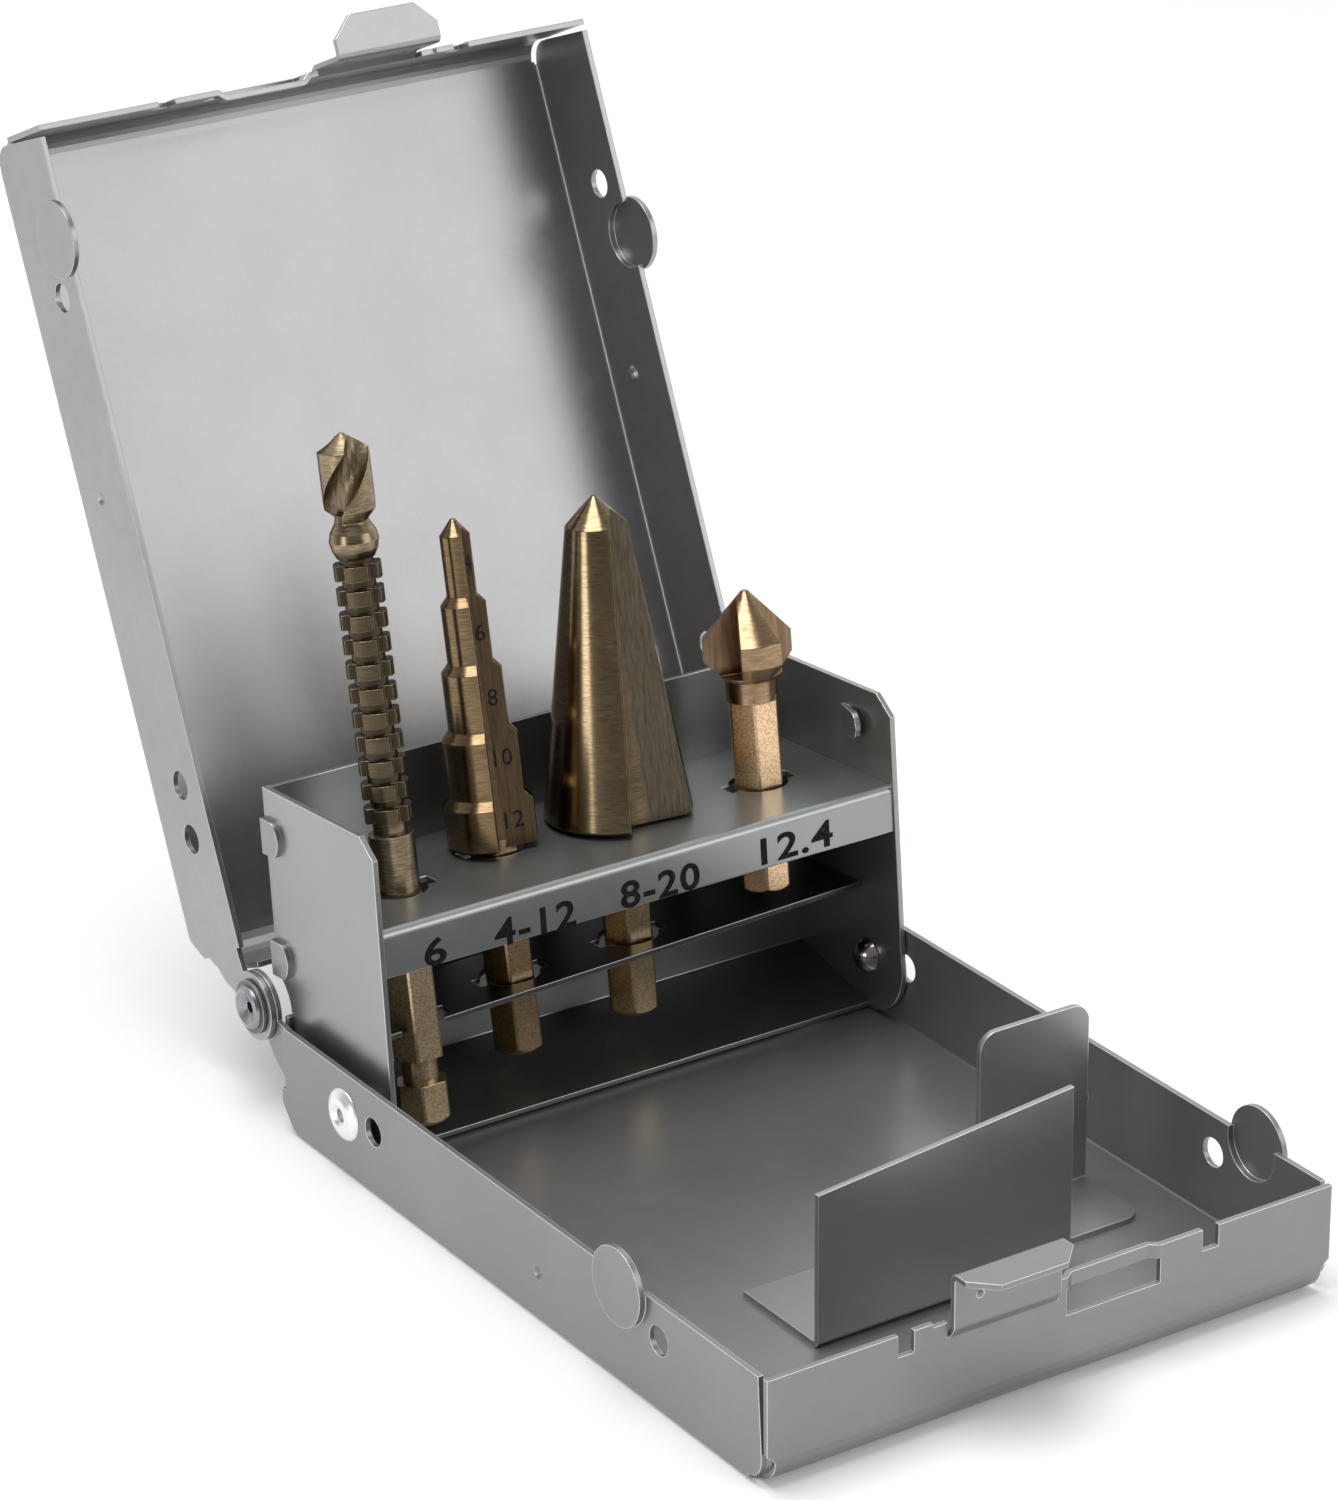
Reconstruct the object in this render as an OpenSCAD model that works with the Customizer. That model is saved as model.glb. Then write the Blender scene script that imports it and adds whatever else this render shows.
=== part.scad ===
// Pocket case of folded sheet steel for four hexagon shank drill bits.
// Two equal stampings, a base and a lid, are joined by two eyelets at the rear.
// A rack turns on two rivets inside the base and holds the bits upright when open.
// X runs to the right, Y to the rear and Z up. The base stands on its flat floor.

/* [Case] */
// Outer width of each half
case_w = 85; // [80:0.5:92]
// Distance from the front face to the hinge axis
hinge_y = 118.7; // [118.7:0.1:124]
// Height of each half, which is also the height of the hinge axis
half_h = 15; // [15:0.1:16.5]
// Thickness of the sheet steel
sheet = 0.75; // [0.6:0.05:0.8]
// Angle that the lid is opened by
lid_open = 114; // [100:1:114]

/* [Rack] */
// Angle that the rack leans back when the case is open
rack_lean = 5; // [0:0.5:5]
// Height of the rack above its pivot
rack_top = 38.9; // [37:0.1:40]
// Height of the top of the shelf above the pivot
shelf_top = 26.5; // [25:0.1:28]
// Height of the printed flange on the shelf
flange_h = 6.4; // [5:0.1:8]

/* [Bits] */
// Size of the hexagon shanks across their flats
hex_flats = 6.35; // [6:0.05:6.35]
// Radius of the twist drill head of the saw drill
saw_head_r = 3.35; // [3:0.05:3.4]
// Diameter of the first step of the step drill
step_first_d = 4; // [3:0.5:5]
// Diameter of the foot of the cone drill
cone_d = 20; // [18:0.5:20]
// Diameter of the countersink
sink_d = 12.4; // [10:0.1:12.4]

/* [Hidden] */
$fn = 48;

// The origin is the middle of the flat floor of the base, on its underside.
origin_y = 56.5;
half_w = case_w / 2;
rim_gap = 0.15;
rim_z = half_h - rim_gap / 2;
play = 0.15;
// Bends, as radii of the middle of the sheet
front_bend = 3.8 - sheet / 2;
rear_bend = 5 - sheet / 2;
side_bend = 1.1 - sheet / 2;
small_bend = 0.7;
rear_wall_y = hinge_y - 4.7;
rear_wall_x = half_w - 2.1;
// Outline of the side walls
joggle_y = hinge_y - 6.9;
ear_r = 4.7;
ear_in = sheet + play;
neck_z = half_h - 0.9;
step_z = 5.95;
// Pressed discs that keep the closed halves in line, left and right
disc_r = 5.2;
disc_z = 13.9;
disc_y = [30.3, 15];
// Holes and dimples in the side walls
front_hole = [22.4, 9.9];
rear_hole = [88.4, 9.35];
pivot = [95.7, 8.8];
hole_r = 2;
rivet_r = 2;
dimple = [49.2, 6.8];
dimple_r = 1.6;
// Latch on the front wall: a tab on one side of the middle, a window on the other
tab_x = [-16.1, -0.2];
tab_out = sheet + play;
tab_step_z = 12.4;
tab_top = 21.2;
tab_lip = 6;
tab_corner = 3;
tab_dimples = [-12.3, -3.1];
tab_dimple_z = 17.5;
window_x = [1.3, 15.55];
window_z = [9.7, 13.1];
notch_l = [-23.6, -21.25];
notch_r = [22, 24.5];
notch_z = 12;
// Hinge eyelets
eyelet_r = 1.4;
eyelet_fit = 0.05;
eyelet_head_r = 3;
washer_r = 3.7;
washer_t = 0.45;
// Rack, in its own frame: Y to the rear and Z up from the pivot
rack_l = -39.7;
rack_r = half_w - sheet - 0.35;
cheek_in_l = rack_l + sheet;
cheek_in_r = rack_r - sheet;
rack_front = -7.7;
flange_y = -7.4;
rack_rear = 20;
rack_chamfer = [3.1, 2.6];
foot_r = 7.8;
ledge_z = 8.2;
tail_y = 16.7;
tail_z = -3;
lip_z = -7.8;
hinge_relief = 5.3;
hinge_at = [22.37, 8.18];
lower_shelf_z = 9.4;
lower_shelf_y = 0.9;
lower_shelf_tilt = -1.5;
tab_rows = [[29.9, 34.8], [12.9, 17.8]];
tab_reach = 4.2;
// Bits, left to right: place on the shelf, lean against the rack and lean to the side
saw_at = [-29.3, 4.8];
step_at = [-11.9, 9.2];
cone_at = [7.1, 8.2];
sink_at = [28.3, 6.2];
saw_lean = [4.9, -0.2];
step_lean = [5.4, -0.3];
cone_lean = [1.8, 0.1];
sink_lean = [2.1, 0.1];
hex_r = hex_flats / 2 / cos(30);
bar_r = hex_r - 0.1;
shank_hole_r = 4.05;
arm_x = 5.2;
arm_w = 2.8;
// Retainer on the floor of the base that stops the folded bits
retainer_front_y = 23;
retainer_step_y = 26.8;
retainer_rear_y = 39.1;
retainer_front_x = [-18.9, 19.7];
retainer_front_z = [21.9, 25.4];
retainer_rear_x = [17.3, 34.5];
retainer_rear_z = 26.4;

// A path with each inner corner replaced by a bend of radius r
function unit(v) = v / norm(v);
function turn(a, b, c) =
    let (u = unit(b - a), w = unit(c - b)) atan2(u[0] * w[1] - u[1] * w[0], u * w);
function bend(a, b, c, r, n) =
    let (
        s = turn(a, b, c),
        u = unit(b - a),
        q = r * tan(abs(s) / 2),
        side = sign(s),
        m = b - q * u + r * side * [-u[1], u[0]]
    )
    [for (i = [0 : n])
        let (t = s * i / n, d = r * side * [u[1], -u[0]])
        m + [d[0] * cos(t) - d[1] * sin(t), d[0] * sin(t) + d[1] * cos(t)]];
function bent(p, r, n = 6) = concat(
    [p[0]],
    [for (i = [1 : len(p) - 2]) each bend(p[i - 1], p[i], p[i + 1], r, n)],
    [p[len(p) - 1]]
);
// Points of a path moved sideways by d, with mitred corners
function normal_at(p, i) =
    let (
        a = i == 0 ? unit(p[1] - p[0]) : unit(p[i] - p[i - 1]),
        b = i == len(p) - 1 ? a : unit(p[i + 1] - p[i]),
        m = unit(a + b)
    )
    [-m[1], m[0]] / (m * b);
function moved(p, d) = [for (i = [0 : len(p) - 1]) p[i] + d * normal_at(p, i)];
function reversed(p) = [for (i = [len(p) - 1 : -1 : 0]) p[i]];

// Sheet of constant thickness along a path
module strip(p, r) {
    path = bent(p, r);
    polygon(concat(moved(path, sheet / 2), reversed(moved(path, -sheet / 2))));
}

// Extrudes a (Y, Z) outline along X from x0 to x1
module along_x(x0, x1) {
    translate([x0, 0, 0])
        rotate([90, 0, 90])
            linear_extrude(x1 - x0)
                children();
}

// Extrudes an (X, Z) outline along Y from y0 to y1
module along_y(y0, y1) {
    translate([0, y1, 0])
        rotate([90, 0, 0])
            linear_extrude(y1 - y0)
                children();
}

// Puts a turned piece on a side wall: its Z axis points to the right
module on_wall(x, at) {
    translate([x, at[0], at[1]])
        rotate([0, 90, 0])
            children();
}

// Floor, front wall and rear wall, folded from one sheet
module floor_sheet() {
    m = sheet / 2;
    difference() {
        union() {
            along_x(-half_w + 1, half_w - 1)
                strip([[m, half_h / 2], [m, m], [hinge_y / 2, m]], front_bend);
            along_x(-rear_wall_x, rear_wall_x)
                strip([[hinge_y / 2, m], [rear_wall_y - m, m], [rear_wall_y - m, rim_z]], rear_bend);
            front_wall();
        }
        // relief at the ends of the front bend
        for (s = [-1, 1])
            along_y(-1, front_bend)
                polygon([[s * (half_w - 0.2), 4.7], [s * (half_w - 1.4), 3.6], [s * (half_w - 1.4), -1],
                    [s * (half_w + 1), -1], [s * (half_w + 1), 4.7]]);
    }
}

// Upright part of the front wall, with its notches, window, pressed strip and tab
module front_wall() {
    difference() {
        along_y(0, sheet)
            polygon([[-half_w + 0.2, 4.7], [-half_w + 1.4, 3.9], [half_w - 1.4, 3.9], [half_w - 0.2, 4.7],
                [half_w - 0.2, rim_z], [-half_w + 0.2, rim_z]]);
        along_y(-1, 2)
            for (n = [notch_l, notch_r])
                translate([n[0], notch_z])
                    square([n[1] - n[0], half_h]);
        along_y(-1, 2)
            translate([window_x[0], window_z[0]])
                square([window_x[1] - window_x[0], half_h]);
        along_y(-1, 2)
            translate([tab_x[0] - 2.4, rim_z - 0.5])
                square([2.4, 1]);
        along_y(-1, 2)
            translate([tab_x[0] - 0.3, tab_step_z])
                square([tab_x[1] - tab_x[0] + 0.6, half_h]);
    }
    pressed_strip();
    latch_tab();
}

// Strip above the window, pushed inward by one thickness
module pressed_strip() {
    a = window_x[0];
    b = window_x[1];
    m = sheet / 2;
    d = sheet + 0.1;
    translate([0, 0, window_z[1]])
        linear_extrude(rim_z - window_z[1])
            strip([[a - 0.9, m], [a + 0.1, m], [a + 1.1, m + d], [b - 1.1, m + d], [b - 0.1, m],
                [b + 0.9, m]], 0.5);
}

// Tab that stands above the rim, pushed outward, with a lip for the thumb
module latch_tab() {
    m = sheet / 2;
    w = tab_x[1] - tab_x[0];
    difference() {
        along_x(tab_x[0], tab_x[1])
            strip([[m, tab_step_z - 1], [m, tab_step_z], [m - tab_out, tab_step_z + 1.4],
                [m - tab_out, tab_top - m], [-tab_lip, tab_top - m]], small_bend);
        for (e = [[tab_x[0], 1], [tab_x[1], -1]])
            translate([0, 0, tab_top - 1.5])
                linear_extrude(3)
                    polygon([[e[0] - e[1], -tab_lip - 1], [e[0] + e[1] * tab_corner, -tab_lip - 1],
                        [e[0] + e[1] * tab_corner, -tab_lip], [e[0], -tab_lip + tab_corner],
                        [e[0] - e[1], -tab_lip + tab_corner]]);
        for (x = tab_dimples)
            translate([x, -tab_out - 0.35, tab_dimple_z])
                sphere(r = 0.7);
    }
    for (x = tab_dimples)
        translate([x, m - tab_out, tab_dimple_z])
            sphere(r = 0.58);
}

// Outline of a side wall up to the joggle
module side_outline() {
    polygon([[3.8, 0], [108.3, 0], [109.8, 1.5], [111.8, 3.9], [joggle_y, step_z], [joggle_y - 1, step_z],
        [joggle_y - 1, rim_z], [1.6, rim_z], [0.95, 4.6], [0.95, 3.8], [3.8, 3.8]]);
    translate([3.8, 3.8])
        circle(r = 2.85);
}

// Outline of a hinge ear behind the joggle
module ear_outline() {
    polygon([[joggle_y, step_z], [joggle_y + 0.9, 6.9], [115.2, 8.75], [116.6, 10.7], [hinge_y, half_h],
        [joggle_y, neck_z]]);
    translate([hinge_y, half_h])
        circle(r = ear_r);
}

// One side wall with its ear: s is -1 for the left, 1 for the right; inward is the joggle
module side_features(s, inward, y_disc) {
    x0 = s * half_w;
    x1 = s * (half_w - sheet);
    // ear
    along_x(min(x0, x1) - s * inward, max(x0, x1) - s * inward)
        ear_outline();
    // joggle between the wall and the ear
    translate([0, 0, step_z])
        linear_extrude(neck_z - step_z)
            polygon([[x0, joggle_y - 1], [x0 - s * inward, joggle_y + 0.2], [x1 - s * inward, joggle_y + 0.2],
                [x1, joggle_y - 1.2], [x0, joggle_y - 1.2]]);
    // pressed disc
    on_wall(s > 0 ? half_w + play : -half_w - play - sheet, [y_disc, disc_z])
        cylinder(h = sheet, r = disc_r);
    intersection() {
        on_wall(s > 0 ? half_w - 0.1 : -half_w - play - 0.05, [y_disc, disc_z])
            difference() {
                cylinder(h = play + 0.15, r = disc_r);
                translate([0, 0, -1])
                    cylinder(h = 3, r = disc_r - 0.6);
            }
        translate([-case_w, 0, 0])
            cube([2 * case_w, hinge_y, rim_z - 0.2]);
    }
    // back of the dimple
    on_wall(x1, dimple)
        intersection() {
            translate([0, 0, s * 1])
                sphere(r = dimple_r);
            translate([-2, -2, s > 0 ? -0.6 : -0.05])
                cube([4, 4, 0.65]);
        }
}

module side_cuts(s, y_disc) {
    x = s > 0 ? half_w - 3 : -half_w - 1;
    for (at = [front_hole, rear_hole])
        on_wall(x, at)
            cylinder(h = 4, r = hole_r);
    on_wall(x, pivot)
        cylinder(h = 4, r = rivet_r + 0.02);
    on_wall(s > 0 ? half_w - sheet - 1 : -half_w - 0.02, [y_disc, disc_z])
        cylinder(h = sheet + 1.02, r = disc_r - 0.6);
    on_wall(s * (half_w + 0.85), dimple)
        sphere(r = dimple_r - 0.35);
}

// Bores in the two ears: the base holds its eyelets, the lid turns on them
module ear_bores(r) {
    on_wall(-half_w - 1, [hinge_y, half_h])
        cylinder(h = 2 * half_w + 2, r = r);
}

// One stamped half, seen as a base: the left ear is set inward and the right ear is plain
module half_shell(bore_r) {
    difference() {
        union() {
            floor_sheet();
            intersection() {
                along_y(0, joggle_y + 1)
                    strip([[-half_w + sheet / 2, half_h + 1], [-half_w + sheet / 2, sheet / 2],
                        [half_w - sheet / 2, sheet / 2], [half_w - sheet / 2, half_h + 1]], side_bend);
                along_x(-case_w, case_w)
                    side_outline();
            }
            side_features(-1, ear_in, disc_y[0]);
            side_features(1, 0, disc_y[1]);
        }
        side_cuts(-1, disc_y[0]);
        side_cuts(1, disc_y[1]);
        ear_bores(bore_r);
    }
}

module base_place() {
    translate([0, -origin_y, 0])
        children();
}

// Turns a half over onto the base and opens it about the hinge axis
module lid_place() {
    base_place()
        translate([0, hinge_y, half_h])
            rotate([-lid_open, 0, 0])
                rotate([0, 180, 0])
                    translate([0, -hinge_y, -half_h])
                        children();
}

module rack_place() {
    base_place()
        translate([0, pivot[0], pivot[1]])
            rotate([-rack_lean, 0, 0])
                children();
}

module bit_place(at, lean) {
    rack_place()
        translate([at[0], at[1], shelf_top])
            rotate([-lean[0], lean[1], 0])
                children();
}

module base_shell() {
    color([0.72, 0.74, 0.73])
        base_place()
            half_shell(eyelet_r);
}

module lid_shell() {
    color([0.74, 0.75, 0.75])
        lid_place()
            half_shell(eyelet_r + eyelet_fit);
}

// Rolled eyelet: outer head, barrel and inner head about the Z axis, for a stack of height h
module eyelet(h) {
    rotate_extrude()
        polygon([[0.75, 0], [1.3, -0.3], [2.3, -0.75], [2.75, -0.6], [eyelet_head_r, -0.2],
            [eyelet_head_r, 0], [eyelet_r, 0], [eyelet_r, h], [2.5, h], [2.5, h + 0.25], [2.1, h + 0.55],
            [1.2, h + 0.55], [0.75, h + 0.2]]);
}

module ring(r, bore, h) {
    difference() {
        cylinder(h = h, r = r);
        translate([0, 0, -1])
            cylinder(h = h + 2, r = bore);
    }
}

hinge_stack_l = half_w + washer_t + 0.1;
hinge_stack_r = half_w + washer_t;

module hinge_eyelet_left() {
    color([0.62, 0.64, 0.65])
        base_place()
            on_wall(-hinge_stack_l, [hinge_y, half_h])
                eyelet(hinge_stack_l - half_w + 2 * sheet + play);
}

module hinge_eyelet_right() {
    color([0.62, 0.64, 0.65])
        base_place()
            on_wall(hinge_stack_r, [hinge_y, half_h])
                mirror([0, 0, 1])
                    eyelet(hinge_stack_r - half_w + 2 * sheet + play + 0.1);
}

module hinge_washer_left() {
    color([0.45, 0.46, 0.47])
        base_place()
            on_wall(-hinge_stack_l, [hinge_y, half_h])
                ring(washer_r, eyelet_r, washer_t);
}

module hinge_washer_right() {
    color([0.45, 0.46, 0.47])
        base_place()
            on_wall(half_w, [hinge_y, half_h])
                ring(washer_r, eyelet_r, washer_t);
}

// Side plate of the rack. Its foot is round about the pivot, its rear clears wall and hinge.
module cheek_outline() {
    polygon([[rack_front, 0], [rack_front, rack_top - rack_chamfer[1]],
        [rack_front + rack_chamfer[0], rack_top], [rack_rear, rack_top], [rack_rear, ledge_z],
        [tail_y, ledge_z], [tail_y, tail_z], [1, lip_z + 0.3], [-3, -3]]);
}

module cheek(x) {
    difference() {
        union() {
            along_x(x, x + sheet)
                cheek_outline();
            on_wall(x, [0, 0])
                cylinder(h = sheet, r = foot_r);
        }
        on_wall(x - 1, hinge_at)
            cylinder(h = sheet + 2, r = hinge_relief);
        on_wall(x - 1, [0, 0])
            cylinder(h = sheet + 2, r = rivet_r + eyelet_fit);
    }
}

module rack_cheek_left() {
    color([0.70, 0.72, 0.71])
        rack_place()
            difference() {
                cheek(rack_l);
                for (r = tab_rows)
                    translate([rack_l - 1, rack_rear - sheet, r[0]])
                        cube([sheet + 2, sheet + 1, r[1] - r[0]]);
            }
}

// The right plate has a small stop tab on its inner face, above the shelf. It leans inward.
stop_at = [2.8, 33.7];
stop_r = 1.9;
stop_lean = 15;

module rack_cheek_right() {
    color([0.30, 0.31, 0.31])
        rack_place() {
            cheek(cheek_in_r);
            translate([cheek_in_r + 0.3, stop_at[0], stop_at[1]])
                rotate([0, 0, -stop_lean])
                    along_x(-sheet, 0) {
                        translate([-3.3, -stop_r])
                            square([3.5, 2 * stop_r]);
                        translate([-3.3, 0])
                            circle(r = stop_r);
                    }
        }
}

// Hole for a shank: round, with two arms to the sides
module shank_cut(at, h) {
    translate([at[0], at[1], -h / 2]) {
        cylinder(h = h, r = shank_hole_r);
        translate([-arm_x, -arm_w / 2, 0])
            cube([2 * arm_x, arm_w, h]);
    }
}

module rack_shelf() {
    m = sheet / 2;
    color([0.78, 0.79, 0.78])
        rack_place()
            difference() {
                along_x(cheek_in_l, cheek_in_r)
                    strip([[flange_y + m, shelf_top - flange_h], [flange_y + m, shelf_top - m],
                        [rack_rear - sheet, shelf_top - m]], small_bend);
                translate([0, 0, shelf_top])
                    for (at = [saw_at, step_at, cone_at, sink_at])
                        shank_cut(at, 6);
            }
}

// Rear plate: it steps over the rear wall, runs down behind it and turns forward to a lip
module rack_back_plate() {
    m = sheet / 2;
    color([0.45, 0.46, 0.46])
        rack_place() {
            difference() {
                along_x(cheek_in_l, cheek_in_r)
                    strip([[rack_rear - m, rack_top], [rack_rear - m, ledge_z + m],
                        [tail_y - m, ledge_z + m], [tail_y - m, tail_z + m], [0.3, lip_z + 0.5]],
                        small_bend);
                // relief for the hinge ears at both ends
                for (x = [cheek_in_l - 1, cheek_in_r - 2.6])
                    translate([x, tail_y - 0.2, ledge_z - 1])
                        cube([3.6, 6, 6.2]);
            }
            for (r = tab_rows)
                folded_tab(r);
        }
}

// Tab that passes round the rear edge of the left plate and lies on its outer face
module folded_tab(r) {
    h = r[1] - r[0];
    translate([rack_l - sheet, rack_rear - sheet, r[0]])
        cube([sheet * 2 + 0.2, sheet, h]);
    along_x(rack_l - sheet, rack_l)
        intersection() {
            translate([rack_rear - tab_reach, r[0]])
                square([tab_reach, h]);
            translate([rack_rear - tab_reach + h / 2 + 0.4, (r[0] + r[1]) / 2])
                circle(r = h / 2 + 0.4);
        }
    along_x(rack_l - sheet, rack_l)
        translate([rack_rear - tab_reach + h / 2 + 0.2, r[0]])
            square([tab_reach - h / 2 - 0.2, h]);
}

// Place where a bit crosses the lower shelf
function crossing(at, lean) = [
    at[0] - (shelf_top - lower_shelf_z) * tan(lean[1]),
    at[1] - (shelf_top - lower_shelf_z) * tan(lean[0])
];

module rack_lower_shelf() {
    color([0.40, 0.41, 0.41])
        rack_place()
            difference() {
                translate([0, 0, lower_shelf_z])
                    rotate([0, lower_shelf_tilt, 0])
                        translate([cheek_in_l + 0.2, lower_shelf_y, -sheet])
                            cube([cheek_in_r - cheek_in_l - 0.4, tail_y - sheet - lower_shelf_y, sheet]);
                for (b = [[saw_at, saw_lean], [step_at, step_lean], [cone_at, cone_lean]])
                    translate([0, 0, lower_shelf_z])
                        shank_cut(crossing(b[0], b[1]), 8);
            }
}

// Blind rivet: thin domed flange outside and a barrel through wall, spacer and rack
module rivet(h) {
    rotate_extrude()
        polygon([[0.9, 0.6], [0.9, -0.55], [1.5, -0.95], [2.4, -0.85], [3.3, -0.4], [3.65, 0], [rivet_r, 0],
            [rivet_r, h], [0, h], [0, 0.6]]);
}

module dome() {
    rotate_extrude()
        intersection() {
            translate([0, -0.6])
                circle(r = 2.6);
            square([3, 3]);
        }
}

rivet_in_l = half_w + cheek_in_l + 0.1;
rivet_in_r = half_w - cheek_in_r + 0.1;

module pivot_rivet_left() {
    color([0.86, 0.87, 0.88])
        base_place()
            on_wall(-half_w, pivot)
                rivet(rivet_in_l);
}

module pivot_rivet_right() {
    color([0.86, 0.87, 0.88])
        base_place()
            on_wall(half_w, pivot)
                mirror([0, 0, 1])
                    rivet(rivet_in_r);
}

module pivot_dome_left() {
    color([0.50, 0.45, 0.44])
        base_place()
            on_wall(-half_w + rivet_in_l, pivot)
                dome();
}

module pivot_dome_right() {
    color([0.50, 0.45, 0.44])
        base_place()
            on_wall(half_w - rivet_in_r, pivot)
                mirror([0, 0, 1])
                    dome();
}

module pivot_spacer_left() {
    color([0.55, 0.56, 0.57])
        base_place()
            on_wall(-half_w + sheet, pivot)
                ring(3.1, rivet_r, half_w - sheet + rack_l - 0.1);
}

module pivot_washer_right() {
    color([0.55, 0.56, 0.57])
        base_place()
            on_wall(rack_r + 0.1, pivot)
                ring(3.6, rivet_r, 0.25);
}

// Folded plate welded to the floor, with one upright in front and one behind
module bit_retainer() {
    m = sheet / 2;
    color([0.62, 0.64, 0.63])
        base_place()
            translate([0, 0, sheet]) {
                intersection() {
                    along_x(retainer_front_x[0], retainer_front_x[1])
                        strip([[retainer_front_y + m, 30], [retainer_front_y + m, m],
                            [retainer_rear_y, m]], small_bend);
                    along_y(0, 60)
                        polygon([[retainer_front_x[0], 0], [retainer_front_x[1], 0],
                            [retainer_front_x[1], retainer_front_z[1] - sheet],
                            [retainer_front_x[0], retainer_front_z[0] - sheet]]);
                }
                intersection() {
                    along_x(retainer_rear_x[0], retainer_rear_x[1])
                        strip([[retainer_step_y, m], [retainer_rear_y + m, m],
                            [retainer_rear_y + m, 30]], small_bend);
                    along_y(0, 60)
                        rounded_plate(retainer_rear_x[0], retainer_rear_x[1], retainer_rear_z - sheet, 2.6);
                    linear_extrude(60)
                        plate_corner(retainer_rear_x[1], retainer_step_y, 3);
                }
            }
}

// Upright outline with two round top corners
module rounded_plate(x0, x1, h, r) {
    translate([x0, 0])
        square([x1 - x0, h - r]);
    translate([x0 + r, 0])
        square([x1 - x0 - 2 * r, h]);
    for (x = [x0 + r, x1 - r])
        translate([x, h - r])
            circle(r = r);
}

// Large plan outline with one round corner at (x, y)
module plate_corner(x, y, r) {
    translate([x - 60, y])
        square([60 - r, 60]);
    translate([x - 60, y + r])
        square([60, 60]);
    translate([x - r, y + r])
        circle(r = r);
}

// Hexagon milled on a round bar, from the shelf down to z = -depth, with a chamfered end
module hex_shank(depth, top = 0) {
    intersection() {
        translate([0, 0, -depth])
            cylinder(h = depth + top, r = hex_r, $fn = 6);
        translate([0, 0, -depth])
            union() {
                cylinder(h = 0.8, r1 = bar_r - 0.8, r2 = bar_r);
                translate([0, 0, 0.8])
                    cylinder(h = depth + top - 0.8, r = bar_r);
            }
    }
}

saw_tip = 60.6;
saw_end = 31.8;
saw_collar = [-1.4, 7.6];
saw_rows = 11;
saw_teeth = [9.3, 44.8];
saw_core_r = 2.2;
saw_tooth_r = 3.1;
saw_waist_r = 2.3;
saw_bulb_r = 3.25;
saw_groove = [-26.2, -22.8];
saw_point = 2.2;
saw_twist = 160;
// Turns the flutes of the head to the front, half way up
saw_head_turn = -23.6;

// Section of one row of saw teeth, four teeth round the core
module tooth_row() {
    intersection() {
        circle(r = saw_tooth_r);
        for (a = [0, 90])
            rotate(a)
                square([8, 3], center = true);
    }
}

// Twist drill head: two helical flutes and a conical point
module twist_head(h) {
    intersection() {
        rotate(saw_head_turn)
            linear_extrude(h, twist = -saw_twist, slices = 20)
                difference() {
                    circle(r = saw_head_r, $fn = 36);
                    for (s = [-1, 1])
                        translate([s * 3.2, 0])
                            circle(r = 2.4, $fn = 28);
                }
        union() {
            translate([0, 0, -0.5])
                cylinder(h = 3, r1 = saw_waist_r - 0.6, r2 = saw_head_r + 0.5);
            translate([0, 0, 2.2])
                cylinder(h = h - saw_point - 2.4, r = saw_head_r + 0.5);
            translate([0, 0, h - saw_point - 0.3])
                cylinder(h = saw_point + 0.3, r1 = saw_head_r + 0.4, r2 = 0.1);
        }
    }
}

// Round bulb between the head and the teeth
module saw_bulb() {
    rotate_extrude()
        polygon([[0, -2.2], [2.5, -2.2], [3, -1.2], [saw_bulb_r, 0], [3, 1.1], [saw_waist_r, 2.3],
            [saw_waist_r - 0.3, 3.4], [0, 3.4]]);
}

module saw_drill() {
    pitch = (saw_teeth[1] - saw_teeth[0]) / saw_rows;
    head_z = saw_teeth[1] + 4;
    color([0.47, 0.36, 0.24])
        bit_place(saw_at, saw_lean) {
            difference() {
                hex_shank(saw_end, saw_collar[0]);
                translate([0, 0, saw_groove[0]])
                    ring(5, 2.4, saw_groove[1] - saw_groove[0]);
            }
            translate([0, 0, saw_collar[0] - 0.1])
                cylinder(h = saw_collar[1] - saw_collar[0] + 0.1, r = 3);
            translate([0, 0, saw_collar[1] - 0.1])
                cylinder(h = saw_teeth[1] - saw_collar[1], r = saw_core_r);
            for (i = [0 : saw_rows - 1])
                translate([0, 0, saw_teeth[0] + i * pitch])
                    rotate(view_turn)
                        linear_extrude(pitch * 0.62)
                            tooth_row();
            translate([0, 0, saw_teeth[1] + 1.8])
                saw_bulb();
            translate([0, 0, head_z])
                twist_head(saw_tip - head_z);
        }
}

// The flat faces of the straight flutes turn to the left front
view_turn = -33.6;
step_pitch = 8.93;
step_first_z = 7;
step_rise = 1.2;
step_tip = 44.5;
step_end = 28;
// The foot is cut short by this, so that its rim clears the shelf while the bit leans
step_foot = 0.55;

// Half outline of the step drill: five steps of growing diameter and a point
function step_profile() = concat(
    [[0, step_foot], [step_first_d / 2 + 3.5, step_foot]],
    [for (i = [4 : -1 : 0]) each [
        [step_first_d / 2 + i,
            i == 4 ? step_foot + 0.5 : step_first_z + (3 - i) * step_pitch + step_rise / 2],
        [step_first_d / 2 + i, step_first_z + (4 - i) * step_pitch - (i == 0 ? 0.3 : step_rise / 2)]
    ]],
    [[0.35, step_tip], [0, step_tip]]
);

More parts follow.
